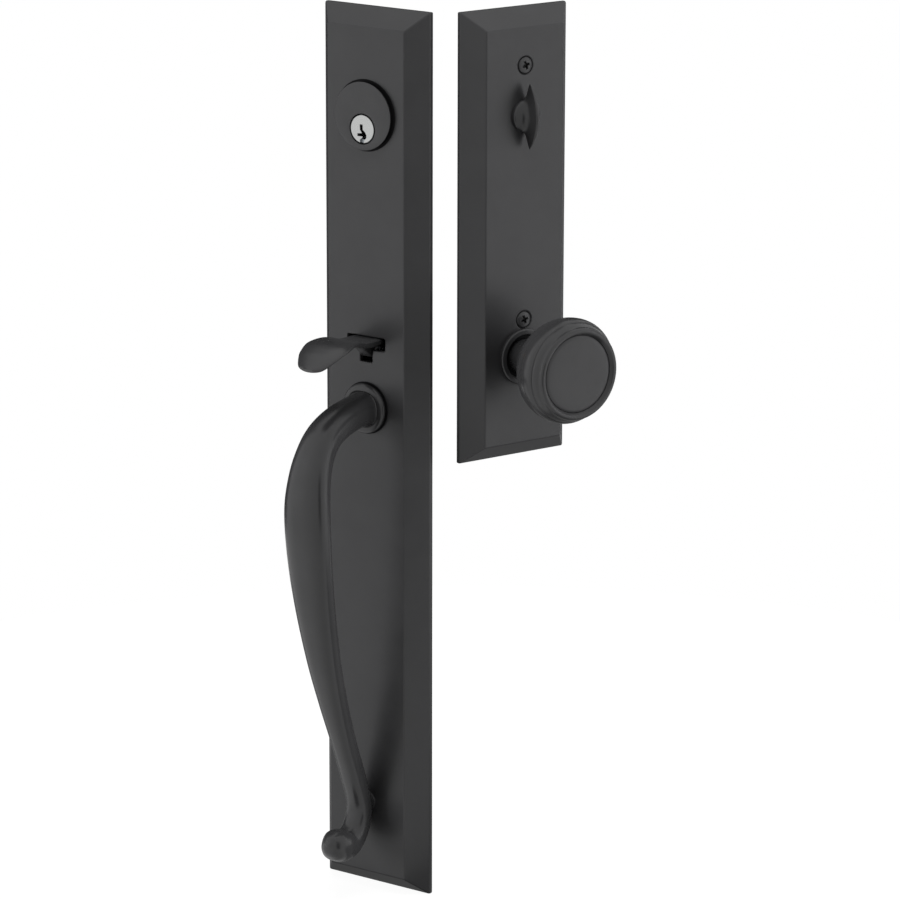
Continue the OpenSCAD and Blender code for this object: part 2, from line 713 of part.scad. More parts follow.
module knob_rose() {
  r = rose_d / 2;
  color(black) knob_line() turned(0, concat(
    [[neck_r + 2.7, plate_t], [r, plate_t]],
    arc([r - 1.1, plate_t + 1.1], 1.1, 0, 90, 6),
    [[neck_r + 3.1, plate_t + 2.2], [neck_r + 2.7, plate_t + 1.8]]));
}

module knob_bush() {
  color(black) knob_line() {
    ring(0, neck_r + run_gap, knob_bush_r, hollow - 2.2, plate_t);
    ring(0, knob_bush_r - 0.6, knob_bush_r + 1.7, hollow - 2.2, hollow);
  }
}

module knob_set_screw() {
  color(steel) knob_line() translate([0, 0, set_screw_z]) rotate([90, 0, 0]) difference() {
    translate([0, 0, spindle_s / 2 + 0.05]) cylinder(r = set_screw_r, h = neck_r - spindle_s / 2 - 0.4);
    translate([0, 0, neck_r - 2.4]) cylinder(r = 1.4, h = 5, $fn = 6);
  }
}

module spindle() {
  s = spindle_s / 2;
  color(steel) knob_line() block([-s, -s, -spindle_back], [s, s, spindle_front]);
}

module return_hub() {
  back = neck_end - 2.9;
  color(steel) knob_line() difference() {
    union() {
      bar(0, hub_r2, back, neck_end);
      block([-6, -arm_in - 1.6, back], [6, 0, neck_end]);
      block([-arm_x, -arm_in - 1.6, shank_end], [arm_x, -arm_in, neck_end]);
    }
    intersection() {
      bar(0, shank_r + seat_gap, back - 1, neck_end + 1);
      block([-shank_flat - 0.05, -20, back - 1], [shank_flat + 0.05, 20, neck_end + 1]);
    }
  }
}

module hub_clip() {
  color(steel) knob_line() difference() {
    ring(0, shank_r - 1.05, shank_r + 2.6, neck_end - 4.2, neck_end - 3.2);
    block([-3, 0, neck_end - 6], [3, 20, neck_end]);
  }
}

// Steps of the return spring: two legs that hang on either side of the hub arm, and the coil between them
function return_coil() = let (
  n = 20,
  turns = 2.5,
  last = turns * n,
  at = function (i) 180 - 360 * i / n,
  out = function (f) [cos(f), sin(f), 0],
  z0 = shank_end + 0.3,
  leg = -stop_y - 3.4)
  concat(
    [[[-spring_r, leg, z0], out(180), [0, 0, 1]]],
    [for (i = [0:last]) [spring_r * out(at(i)) + [0, 0, z0 + spring_pitch * i / n], out(at(i)), [0, 0, 1]]],
    [[[spring_r, leg, z0 + spring_pitch * turns], out(0), [0, 0, 1]]]);

module return_spring() {
  color(steel) knob_line() wire(return_coil(), return_wire / 2, 8);
  echo(return_spring_least_gap = spring_pitch - return_wire);
}

exterior_plate();
cylinder_cap();
cylinder_body();
cylinder_nut();
cylinder_plug();
key_pins();
driver_pins();
pin_springs();
pin_cover();
plug_retainer();
cylinder_tailpiece();
thumb_lever();
lever_pin();
lever_bracket();
bracket_screws();
lever_spring();
grip();
grip_flange();
grip_screws();
mounting_posts();
interior_plate();
through_bolts();
turn_piece();
turn_spindle();
turn_bush();
turn_washer();
turn_clip();
knob_shell();
knob_face();
knob_rose();
knob_bush();
knob_set_screw();
spindle();
return_hub();
hub_clip();
return_spring();
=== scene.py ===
"""Entrance handle set in satin black: a long outside plate with key cylinder, thumb lever and grip, and a short
inside plate with turn piece and knob, standing in a V on a white floor.

Shapes are written in millimetres in each trim's face frame: x to the right, v up, d out from the door."""
import json
import math

import bmesh
import bpy
import numpy as np
from mathutils import Matrix, Quaternion, Vector

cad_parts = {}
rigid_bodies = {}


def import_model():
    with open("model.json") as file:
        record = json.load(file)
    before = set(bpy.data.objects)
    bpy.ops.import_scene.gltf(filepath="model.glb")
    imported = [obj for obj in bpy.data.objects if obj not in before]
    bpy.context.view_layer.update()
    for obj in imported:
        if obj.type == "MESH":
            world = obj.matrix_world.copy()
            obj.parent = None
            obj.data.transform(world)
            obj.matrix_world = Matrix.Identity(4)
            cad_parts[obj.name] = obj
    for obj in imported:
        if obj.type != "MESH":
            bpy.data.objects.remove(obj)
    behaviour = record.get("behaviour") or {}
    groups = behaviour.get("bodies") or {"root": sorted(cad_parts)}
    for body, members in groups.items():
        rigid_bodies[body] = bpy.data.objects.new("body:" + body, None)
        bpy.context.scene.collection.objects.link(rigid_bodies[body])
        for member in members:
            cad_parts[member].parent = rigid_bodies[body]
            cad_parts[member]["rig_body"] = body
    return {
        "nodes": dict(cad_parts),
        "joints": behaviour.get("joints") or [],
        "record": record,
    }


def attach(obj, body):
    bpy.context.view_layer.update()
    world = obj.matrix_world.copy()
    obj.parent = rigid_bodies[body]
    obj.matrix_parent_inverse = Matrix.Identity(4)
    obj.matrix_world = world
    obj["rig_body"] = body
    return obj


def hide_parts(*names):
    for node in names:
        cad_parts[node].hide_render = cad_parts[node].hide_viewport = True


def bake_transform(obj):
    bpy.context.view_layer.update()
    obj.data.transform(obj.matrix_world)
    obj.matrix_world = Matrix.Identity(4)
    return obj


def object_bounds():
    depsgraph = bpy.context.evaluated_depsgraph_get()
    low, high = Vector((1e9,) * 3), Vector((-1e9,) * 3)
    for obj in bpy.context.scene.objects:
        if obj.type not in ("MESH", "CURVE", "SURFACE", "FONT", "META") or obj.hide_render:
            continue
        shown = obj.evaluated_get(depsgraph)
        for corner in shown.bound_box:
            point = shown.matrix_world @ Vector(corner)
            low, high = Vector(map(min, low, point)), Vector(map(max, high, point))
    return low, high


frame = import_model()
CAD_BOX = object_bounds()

JOINTS = {joint["name"]: joint for joint in frame["joints"]}
SLOTS = {part["node"]: part["material_slot"] for part in frame["record"]["subparts"]}
MM = 0.001
FULL_TURN = 2 * np.pi

# Heights count from the latch line, depths from the back of the plates.
PLATE = 14.5  # depth of the plates' faces
KNOB = 1000 * JOINTS["knob_turn"]["pos_m"][2]  # height of the knob's axis
DEADBOLT = 139.7  # height of the turn piece and the cap
KEY = 132.2  # height of the key plug
GRIP_TOP = -31.5  # height of the grip's flange
FOOT = -271.0  # height of the grip's foot
GRIP_BASE = 18.7  # depth of the flange's front, where the grip starts
PIVOT = (2.8, 6.4)  # height and depth of the thumb lever's pin


def face_frame(origin, normal):
    """Right, up and outward directions of a trim's face, with the origin, as the rows of one array in metres.
    Right is up crossed with the outward normal."""
    normal = np.array(normal, float)
    up = np.array([0.0, 0.0, 1.0])
    return np.array([np.cross(up, normal), up, normal, origin])


OUTSIDE = face_frame([0, 0, 0], JOINTS["plug_turn"]["axis"])
INSIDE = face_frame([*JOINTS["knob_turn"]["pos_m"][:2], 0], JOINTS["knob_turn"]["axis"])


def place(trim, points):
    """Points in millimetres of a trim's face frame, carried into the shared frame in metres."""
    return trim[3] + MM * (np.asarray(points, float) @ trim[:3])


def smooth_line(stations, steps):
    """A curve through stations: between two of them a cubic whose slopes are half the chord of their
    neighbours."""
    p = np.asarray(stations, float)
    q = np.vstack([p[:1], p, p[-1:]])
    a, b, c, d = (q[i:i + len(p) - 1, None, :] for i in range(4))
    t = (np.arange(steps) / steps)[None, :, None]
    line = 0.5 * (2 * b + (c - a) * t + (2 * a - 5 * b + 4 * c - d) * t**2
                  + (3 * b - a - 3 * c + d) * t**3)
    return np.vstack([line.reshape(-1, p.shape[1]), p[-1:]])


def rounded(corners, cuts, steps=6):
    """A line whose corners are replaced by parabolas: each starts and ends a cut's length from its corner, or
    half a side where the side is shorter, and has the corner as its control point."""
    p = np.asarray(corners, float)
    cut = np.broadcast_to(np.asarray(cuts, float), (len(p) - 2,))
    t = np.linspace(0, 1, steps)[None, :, None]
    before, after = p[:-2] - p[1:-1], p[2:] - p[1:-1]
    back, ahead = np.linalg.norm(before, axis=1), np.linalg.norm(after, axis=1)
    start = p[1:-1] + before / back[:, None] * np.minimum(cut, back / 2)[:, None]
    end = p[1:-1] + after / ahead[:, None] * np.minimum(cut, ahead / 2)[:, None]
    bend = (1 - t) ** 2 * start[:, None] + 2 * t * (1 - t) * p[1:-1, None] + t**2 * end[:, None]
    return np.vstack([p[:1], bend.reshape(-1, p.shape[1]), p[-1:]])


def arc(centre, radius, first, last, steps=9):
    """Points of a circle's arc: centre plus radius times cosine and sine of angles spread evenly, in degrees."""
    f = np.radians(np.linspace(first, last, steps))
    return np.asarray(centre, float) + radius * np.stack([np.cos(f), np.sin(f)], axis=-1)


def round_rows(rows, sides=160):
    """A surface of circles: each row gives the height of its centre, its radius and its depth."""
    v, r, d = np.asarray(rows, float).T[:, :, None]
    f = np.linspace(0, FULL_TURN, sides, endpoint=False)[None, :]
    return np.stack([r * np.cos(f), v + r * np.sin(f), d + 0 * f], axis=-1)


def turned(profile, v, sides=144):
    """A lathe surface: each row is one point (r, d) of the profile taken round the axis at height v."""
    return round_rows([(v, r, d) for r, d in profile], sides)


def carried(stations, steps, sides, power):
    """A bar along a smooth line in the upright plane: stations give d, v, half width and half thickness. The
    section is a superellipse, cosine and sine each to the power 2/power, set square to the line's direction. A
    power for each station makes a bar that starts square and ends round."""
    line = smooth_line(np.column_stack([stations, np.broadcast_to(power, len(stations))]), steps)
    power = line[:, 4:]
    run = np.gradient(line[:, :2], axis=0)
    run /= np.linalg.norm(run, axis=1)[:, None]
    f = np.linspace(0, FULL_TURN, sides, endpoint=False)
    wide = np.sign(np.cos(f)) * np.abs(np.cos(f)) ** (2 / power)
    thick = line[:, 3:4] * np.sign(np.sin(f)) * np.abs(np.sin(f)) ** (2 / power)
    return np.stack([line[:, 2:3] * wide, line[:, 1:2] + thick * run[:, :1],
                     line[:, :1] - thick * run[:, 1:]], axis=-1)


def slab(outline, half, edge):
    """A flat outline (v, d) carried along x from -half to half, drawn in towards its middle by edge at both
    ends."""
    p = np.asarray(outline, float)
    middle = p.mean(axis=0)
    arm = p - middle
    inset = middle + arm * (1 - edge / np.linalg.norm(arm, axis=1))[:, None]
    rows = [(-half, inset), (edge - half, p), (half - edge, p), (half, inset)]
    return np.stack([np.column_stack([np.full(len(q), x), q]) for x, q in rows])


ASKEW = np.array([0.123, 0.35, 0.93])


def wire(path, radius, sides=12):
    """A round wire: a circle of the radius carried along the path, square to its direction. The circle's first
    arm is the part of a fixed askew direction, which no path follows, that is square to the path."""
    p = np.asarray(path, float)
    run = np.gradient(p, axis=0)
    run /= np.linalg.norm(run, axis=1)[:, None]
    arm = ASKEW - (ASKEW * run).sum(axis=1)[:, None] * run
    arm /= np.linalg.norm(arm, axis=1)[:, None]
    other = np.cross(run, arm)
    f = np.linspace(0, FULL_TURN, sides, endpoint=False)[None, :, None]
    return p[:, None] + radius * (np.cos(f) * arm[:, None] + np.sin(f) * other[:, None])


def linear(code):
    """An sRGB hex colour as linear red, green, blue and alpha."""
    c = np.array([int(code[i:i + 2], 16) for i in (1, 3, 5)]) / 255
    return tuple(np.where(c <= 0.04045, c / 12.92, ((c + 0.055) / 1.055) ** 2.4)) + (1.0,)


def per(mm):
    """The scale that gives a noise features of this many millimetres, on coordinates in metres."""
    return 1000.0 / mm


# A wave texture turns through this many radians in one unit, so its bands lie 2 pi times per's length apart.
WAVE_RADIANS = 20


def add(tree, kind, settings=None, **sockets):
    """Adds a node with its settings; a socket named here takes a value, or a link where it is given an output.
    A socket is named in lower case with _ for a space, or by its number after an n."""
    node = tree.nodes.new(kind)
    for name, value in (settings or {}).items():
        setattr(node, name, value)
    by_name = {s.name.lower().replace(" ", "_"): s for s in reversed(node.inputs)}
    for name, value in sockets.items():
        socket = node.inputs[int(name[1:])] if name[1:].isdigit() else by_name[name]
        if isinstance(value, bpy.types.NodeSocket):
            tree.links.new(value, socket)
        else:
            socket.default_value = value
    return node


def finish(name, shader):
    """A new material whose surface is what shader(tree) returns."""
    material = bpy.data.materials.new(name)
    material.use_nodes = True
    tree = material.node_tree
    tree.nodes.clear()
    add(tree, "ShaderNodeOutputMaterial", surface=shader(tree).outputs[0])
    return material


def cast_finish(tree, shades, patch_mm, rough, depth, grain_mm, **shader):
    """A coated or plated casting: colour drifts between two shades in patches of patch_mm, roughness drifts with
    it, and a fine bump of grain_mm stands up by depth micrometres."""
    at = add(tree, "ShaderNodeTexCoord").outputs["Object"]
    patch = add(tree, "ShaderNodeTexNoise", vector=at, scale=per(patch_mm), detail=3.0, roughness=0.55)
    ramp = add(tree, "ShaderNodeValToRGB", fac=patch.outputs["Fac"])
    for element, position, code in zip(ramp.color_ramp.elements, (0.35, 0.65), shades):
        element.position = position
        element.color = linear(code)
    spread = add(tree, "ShaderNodeMapRange", value=patch.outputs["Fac"], from_min=0.3, from_max=0.7,
                 to_min=rough[0], to_max=rough[1])
    peel = add(tree, "ShaderNodeTexNoise", vector=at, scale=per(grain_mm), detail=2.0, roughness=0.5)
    bump = add(tree, "ShaderNodeBump", height=peel.outputs["Fac"], strength=1.0, distance=depth * 1e-6)
    return add(tree, "ShaderNodeBsdfPrincipled", base_color=ramp.outputs["Color"],
               roughness=spread.outputs["Result"], normal=bump.outputs["Normal"], **shader)


LACQUER = {"ior": 1.5, "specular_ior_level": 0.38}
LACQUER_SHADES = ("#303031", "#333334")


def satin_black_lacquer(tree):
    """Black lacquer sprayed over a polished casting: near black, a satin sheen that draws soft bands along the
    round shapes, with a faint orange peel. The peel of half a millimetre is drawn at 1.6 mm so that it shows."""
    return cast_finish(tree, LACQUER_SHADES, 22, (0.23, 0.27), 4.5, 1.6, **LACQUER)


def satin_black_plate(tree):
    """The same lacquer over a flat, finely blasted plate: the sheen is wider, so what stands on it is mirrored as
    a soft dark cloud."""
    return cast_finish(tree, LACQUER_SHADES, 22, (0.34, 0.38), 5.0, 1.6, **LACQUER)


def satin_nickel(tree):
    """Nickel plate over brushed brass: a pale grey metal that blurs the room, with fine rings from facing on the
    lathe round the plug's axis, drawn 2.2 mm apart so that they show."""
    at = add(tree, "ShaderNodeTexCoord").outputs["Object"]
    centred = add(tree, "ShaderNodeMapping", {"vector_type": "POINT"}, vector=at, location=(0, 0, -MM * KEY))
    rings = add(tree, "ShaderNodeTexWave", {"wave_type": "RINGS", "rings_direction": "Y"},
                vector=centred.outputs[0], scale=per(0.35) / WAVE_RADIANS, distortion=0.4, detail=1.0)
    rough = add(tree, "ShaderNodeMapRange", value=rings.outputs["Fac"], to_min=0.26, to_max=0.36)
    bump = add(tree, "ShaderNodeBump", height=rings.outputs["Fac"], strength=0.25, distance=4e-6)
    return add(tree, "ShaderNodeBsdfPrincipled", base_color=linear("#bcbdbc"), metallic=1.0,
               roughness=rough.outputs["Result"], normal=bump.outputs["Normal"])


def turned_brass(tree):
    """Free-cutting brass off the lathe: yellow metal with tool marks 3.1 mm apart along the turning axis."""
    at = add(tree, "ShaderNodeTexCoord").outputs["Object"]
    marks = add(tree, "ShaderNodeTexWave", {"bands_direction": "Y"}, vector=at,
                scale=per(0.5) / WAVE_RADIANS, distortion=0.6)
    stain = add(tree, "ShaderNodeTexNoise", vector=at, scale=per(6), detail=3.0)
    ramp = add(tree, "ShaderNodeValToRGB", fac=stain.outputs["Fac"])
    for element, position, code in zip(ramp.color_ramp.elements, (0.3, 0.7), ("#b08a48", "#c9a55e")):
        element.position = position
        element.color = linear(code)
    rough = add(tree, "ShaderNodeMapRange", value=marks.outputs["Fac"], to_min=0.24, to_max=0.36)
    bump = add(tree, "ShaderNodeBump", height=marks.outputs["Fac"], strength=0.3, distance=6e-6)
    return add(tree, "ShaderNodeBsdfPrincipled", base_color=ramp.outputs["Color"], metallic=1.0,
               roughness=rough.outputs["Result"], normal=bump.outputs["Normal"])


def zinc_plate(tree):
    """Bright zinc plate on steel: blue grey metal, clouded in patches of 5 mm, with a fine pitted grain."""
    return cast_finish(tree, ("#8f949a", "#a9adb1"), 5, (0.28, 0.42), 8.0, 0.9, metallic=1.0)


def black_phosphate(tree):
    """Phosphated steel: almost black, quite dull, with a crystalline grain drawn at 0.8 mm to show. The grain
    swallows most of the sheen."""
    # This finish also colours the near-black rings of painted shade under the cap, the flange and the bolt heads.
    return cast_finish(tree, ("#0c0c0d", "#121213"), 9, (0.6, 0.7), 8.0, 0.8,
                       ior=1.45, specular_ior_level=0.1)


def moulded_nylon(tree):
    """Natural nylon from a mould: milky white with a soft gloss and a fine spark texture."""
    return cast_finish(tree, ("#d8d5cb", "#dfdcd3"), 8, (0.36, 0.44), 6.0, 0.7, ior=1.53,
                       subsurface_weight=0.15, subsurface_radius=(0.0012, 0.001, 0.0008))


FINISHES = {
    "satin_black": finish("satin black lacquer", satin_black_lacquer),
    "plate": finish("satin black lacquer on a plate", satin_black_plate),
    "nickel": finish("satin nickel plate", satin_nickel),
    "brass": finish("turned brass", turned_brass),
    "zinc_steel": finish("bright zinc plate", zinc_plate),
    "black_steel": finish("black phosphate steel", black_phosphate),
    "nylon": finish("moulded nylon", moulded_nylon),
}
PLATES = ("exterior_plate", "interior_plate")


def put(name, mesh, node, crease=32, slot=None, bends=None):
    """Makes a piece of a mesh that stands for a CAD node: it takes the node's slot and finish and rides on its
    body. Edges that bend more than the crease stay sharp. A piece with a slot of its own only rides along. A
    spring is given the bodies of its two legs and the points where the bend starts and ends, but these are not
    used: the spring is baked in place, rides on no body and doesn't bend."""
    mesh.materials.append(FINISHES[slot or ("plate" if node in PLATES else SLOTS[node])])
    mesh.shade_smooth()
    mesh.set_sharp_from_angle(angle=math.radians(crease))
    piece = bpy.data.objects.new(name, mesh)
    bpy.context.scene.collection.objects.link(piece)
    if bends:
        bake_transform(piece)
    else:
        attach(piece, frame["nodes"][node]["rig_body"])
    if slot is None:
        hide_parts(node)
    return piece


# Two points within MERGE are one, and an edge below SLIVER has no length, both in metres. A row of points within
# POINT, in millimetres, is a pole.
MERGE = 2e-6
SLIVER = 1e-7
POINT = 1e-6


def clean(mesh, last_step):
    """Merges a mesh's doubled points and drops its empty faces, then lets last_step work on it."""
    work = bmesh.new()
    work.from_mesh(mesh)
    bmesh.ops.remove_doubles(work, verts=work.verts, dist=MERGE)
    bmesh.ops.dissolve_degenerate(work, edges=work.edges, dist=SLIVER)
    last_step(work)
    work.to_mesh(mesh)
    work.free()


def face_outwards(work):
    """Turns every face outwards."""
    bmesh.ops.recalc_face_normals(work, faces=work.faces)


def join_flat(work):
    """Joins the triangles of a flat face."""
    bmesh.ops.dissolve_limit(work, angle_limit=math.radians(0.6), verts=work.verts, edges=work.edges)


def surface(name, node, trim, *grids, crease=32, slot=None, bends=None):
    """One piece from closed skins: each grid's four neighbours make a face, columns close on themselves, and end
    rows that aren't a point are closed by one face. Poles and seams are merged and faces turned outwards."""
    points, quads, ends, base = [], [], [], 0
    for grid in grids:
        rows, columns = grid.shape[:2]
        index = base + np.arange(rows * columns).reshape(rows, columns)
        side = np.roll(index, -1, axis=1)
        quads += np.stack([index[:-1], side[:-1], side[1:], index[1:]], axis=-1).reshape(-1, 4).tolist()
        open_rows = [] if np.allclose(grid[0], grid[-1]) else [0, -1]
        ends += [index[k].tolist() for k in open_rows if np.ptp(grid[k], axis=0).max() > POINT]
        points.append(place(trim, grid.reshape(-1, 3)))
        base += rows * columns
    mesh = bpy.data.meshes.new(name)
    mesh.from_pydata(np.vstack(points).tolist(), [], quads + ends)
    clean(mesh, face_outwards)
    put(name, mesh, node, crease, slot, bends)


def softened(node, width, angle=35):
    """A copy of a CAD node with its edges broken: its triangles are merged and flat ones joined, and a bevel of
    the width in millimetres rounds each edge that bends more than the angle."""
    source = frame["nodes"][node].data
    co = np.empty(len(source.vertices) * 3)
    source.vertices.foreach_get("co", co)
    corners = np.empty(len(source.loops), np.int32)
    source.loops.foreach_get("vertex_index", corners)
    mesh = bpy.data.meshes.new(node + "_made")
    mesh.from_pydata(co.reshape(-1, 3).tolist(), [], corners.reshape(-1, 3).tolist())
    clean(mesh, join_flat)
    piece = put(node + "_made", mesh, node, crease=180)
    bevel = piece.modifiers.new("broken edges", "BEVEL")
    bevel.width = MM * width
    bevel.segments = 3
    bevel.limit_method = "ANGLE"
    bevel.angle_limit = math.radians(angle)
    bevel.use_clamp_overlap = False
    bevel.miter_outer = "MITER_ARC"
    flat = piece.modifiers.new("flat faces stay flat", "WEIGHTED_NORMAL")
    flat.keep_sharp = True


# Plates, plug, bolts and the pieces behind the plates keep the shape of their solids, with broken edges.
for node, width in (("exterior_plate", 0.7), ("interior_plate", 0.7), ("cylinder_plug", 0.18),
                    ("through_bolts", 0.2), ("cylinder_body", 0.3), ("cylinder_nut", 0.3), ("key_pins", 0.3),
                    ("driver_pins", 0.3), ("pin_springs", 0.1), ("pin_cover", 0.3), ("plug_retainer", 0.3),
                    ("cylinder_tailpiece", 0.3), ("lever_pin", 0.25), ("lever_bracket", 0.3),
                    ("bracket_screws", 0.15), ("grip_screws", 0.25), ("mounting_posts", 0.3),
                    ("turn_spindle", 0.2), ("turn_bush", 0.2), ("turn_washer", 0.2), ("turn_clip", 0.15),
                    ("knob_bush", 0.25), ("knob_set_screw", 0.2), ("spindle", 0.4), ("return_hub", 0.3),
                    ("hub_clip", 0.2)):
    softened(node, width)


def cylinder_collar():
    """The cap round the key cylinder: rows of circles whose centre slides from the plug to the deadbolt line, so
    the flat front has an off-centre hole. Behind a thin lip its side is drawn in."""
    outline = [(19.7, 17.7), (19.5, 16.9), (18.2, 16.7), (18.2, PLATE), (16.55, PLATE), (16.55, 16)]
    rows = rounded([(KEY, 8.9, 16), (KEY, 8.9, 17.7)] + [(DEADBOLT, r, d) for r, d in outline],
                   [0.25, 0.5, 0.2, 0.2, 0.1, 0.1])
    surface("cylinder_collar", "cylinder_cap", OUTSIDE, round_rows(np.vstack([rows, rows[:1]])))


def cap_washers():
    """Two near-black rings of painted shade, drawn like blackened washers, that show as dark lines: a stepped one
    under the cap's lip, a little wider than it, stands in for the shadow in the gap under the lip, and a small one
    at the bottom of the gap round the plug stands in for that gap's shade."""
    # Painted shade: this near-black ring stands in for the shadow under the cap's lip.
    under = rounded([(17.2, 14.52), (20.8, 14.52), (20.8, 14.8), (18.45, 14.8), (18.45, 16.6), (17.9, 16.6),
                     (17.2, 14.52)], 0.08)
    # Painted shade: this near-black ring stands in for the shade at the bottom of the gap round the plug.
    plug_gap_painted_shade = [(8.1, 16.02), (8.85, 16.02), (8.85, 16.3), (8.1, 16.3), (8.1, 16.02)]
    surface("cap_washers", "cylinder_cap", OUTSIDE, turned(under, DEADBOLT, 160),
            turned(plug_gap_painted_shade, KEY, 96), slot="black_steel")


def grip_bar():
    """The grip: a bar carried down a curve from the flange to its curled tip, cut flat where it meets the flange,
    and a short foot turned with a hollow flare. The table gives the part of the reach of 53.1 mm, the way down
    before a last stretch of 0.63 percent, half width and half thickness."""
    table = np.array([
        (-.03, 0, 11, 10.8), (.06, .1, 9.9, 9.6), (.24, 1, 9.8, 9.3), (.49, 4, 10.2, 9.2),
        (.706, 9.6, 10.7, 9), (.852, 18.6, 11.6, 8.8), (.946, 31, 13.1, 8.6), (.99, 49, 14.6, 8.5),
        (.96, 75, 14.4, 8.2), (.866, 107, 12.8, 7.8), (.715, 141, 10.6, 7.3), (.546, 169, 8.8, 6.8),
        (.348, 197, 7.4, 6.4), (.182, 220, 7.5, 6.3), (.075, 238, 7.7, 6.4), (.135, 251, 8, 6.8),
        (.285, 258.3, 8.6, 8), (.445, 258, 9.6, 9.6), (.55, 255.8, 8.3, 8.5), (.62, 254.2, 5.1, 5.3),
        (.65, 253.6, 1.7, 1.8)])
    table[:, 0] = GRIP_BASE + 53.1 * table[:, 0]
    table[:, 1] = GRIP_TOP - 1.0063 * table[:, 1]
    bar = carried(table, 8, 72, 2.4)
    near_flange = bar[..., 1] > -60
    bar[..., 2] = np.where(near_flange, np.maximum(bar[..., 2], GRIP_BASE), bar[..., 2])
    foot = rounded([(0, PLATE), (5.9, PLATE), (5.4, 15.6), (5.4, 21.7), (0, 21.7)], [0.2, 0.8, 0.8])
    surface("grip_bar", "grip", OUTSIDE, bar, turned(foot, FOOT, 64), crease=50)


def grip_collar():
    """The flange under the grip: a low turned ring with a round outer bead, on a thin near-black ring of painted
    shade, drawn like a blackened washer, that shows as a dark line round it in place of the shadow round the
    flange."""
    bead = arc((12.9, 16.6), 1.9, -60, 80, 14)
    profile = np.vstack([[(3.25, PLATE), (13.8, PLATE)], bead,
                         [(12.2, GRIP_BASE), (3.25, GRIP_BASE), (3.25, PLATE)]])
    surface("grip_collar", "grip_flange", OUTSIDE, turned(profile, GRIP_TOP))
    # Painted shade: this near-black ring stands in for the shadow round the flange's edge.
    under = rounded([(11, 14.52), (15.4, 14.52), (15.4, 14.85), (11, 14.85), (11, 14.52)], 0.08)
    surface("flange_washer", "grip_flange", OUTSIDE, turned(under, GRIP_TOP), slot="black_steel")


def thumb_paddle():
    """The thumb lever: a thin paddle carried along its curve, with a web and tail cut from flat outlines and a hub
    round the pivot pin. The table gives the part of the reach of 55.3 mm, the rise above the root, half width and
    the part of the half thickness of 1.8 mm."""
    root = 8.55
    table = [(8.7, root, 9.1, 1.6)]
    for out, up, half, thick in ((0, 0, 10.3, .97), (.244, .52, 10.6, 1), (.461, 3.7, 12.78, 1),
                                 (.642, 2.92, 15.3, .97), (.787, -.19, 14.23, .94), (.866, -2.66, 12.39, .89),
                                 (.959, -6.3, 8.64, .84), (.998, -7.2, 3.83, .61)):
        table.append((PLATE + 55.3 * out, root + up, half, 1.8 * thick))
    paddle = carried(table, 10, 88, (8, 8, 7, 4, 2.8, 2.5, 2.5, 2.5, 2.5))
    v, d = PIVOT
    web = rounded([(v - 4, d), (v - 4, 13.5), (v + 1, 19.5), (root, 24.5), (root, d), (v - 4, d)], 0.6)
    tail = rounded([(v - 2.2, d), (v - 2.2, -22), (v + 2.2, -22), (v + 2.2, d), (v - 2.2, d)], 0.5)
    f = np.linspace(0, FULL_TURN, 64, endpoint=False)
    hub = np.column_stack([v + 4.4 * np.cos(f), d + 4.4 * np.sin(f)])
    surface("thumb_paddle", "thumb_lever", OUTSIDE, paddle, slab(web, 3.6, 0.35), slab(tail, 3.6, 0.35),
            slab(hub, 5.0, 0.3), crease=45)


def turn_leaf():
    """The turn piece: rings that go from a low round base to a thin upright leaf. A smooth table gives each ring's
    depth u, the part of the base's extra 8.3 mm of half width and the part of the leaf's extra 9.3 mm of half
    height. The sides draw in towards the tips as u grows, and the front falls towards both tips by 8.1 mm. The
    leaf's edge is then rounded across its width by 0.8 mm."""
    table = smooth_line([(0, 1, 0), (.12, .97, 0), (.18, .91, .01), (.22, .76, .03), (.26, .55, .09),
                         (.3, .39, .17), (.36, .25, .3), (.45, .14, .48), (.58, .07, .65), (.72, .03, .79),
                         (.86, .01, .9), (1, 0, 1)], 6)
    u, extra, reach = (table[:, k:k + 1] for k in range(3))
    f = np.linspace(0, FULL_TURN, 144, endpoint=False)[None, :]
    c, s = np.cos(f), np.sin(f)
    back, leaf = 14.8, 1.2
    high = 9.5 + 9.3 * reach
    wide = leaf + 8.3 * np.maximum(extra, 0)
    front = 27 - 8.1 * s**2
    sides = np.stack([np.sign(c) * np.abs(c) ** (1 + u / 2) * wide, DEADBOLT + s * high,
                      back + u * (front - back)], axis=-1)
    k = np.linspace(0, np.pi / 2, 10)[1:, None]
    crown = np.stack([np.sign(c) * np.abs(c) ** 1.5 * leaf * np.cos(k), DEADBOLT + s * 18.8 + 0 * k,
                      front + 0.8 * np.sqrt(np.abs(c)) * np.sin(k)], axis=-1)
    surface("turn_leaf", "turn_piece", INSIDE, np.vstack([sides, crown]), crease=60)


def bolt_washers():
    """Two thin near-black rings of painted shade in the plate's counterbores, drawn like blackened washers, which
    show as dark lines round the bolt heads in place of the shade in the gaps round them.
    """
    # Painted shade: near-black rings stand in for the shade in the gaps round the bolt heads.
    ring = rounded([(4.75, 13.9), (5.25, 13.9), (5.25, 14.35), (4.75, 14.35), (4.75, 13.9)], 0.06)
    surface("bolt_washers", "interior_plate", INSIDE, *(turned(ring, bolt, 72) for bolt in (20.9, 168.6)),
            slot="black_steel")


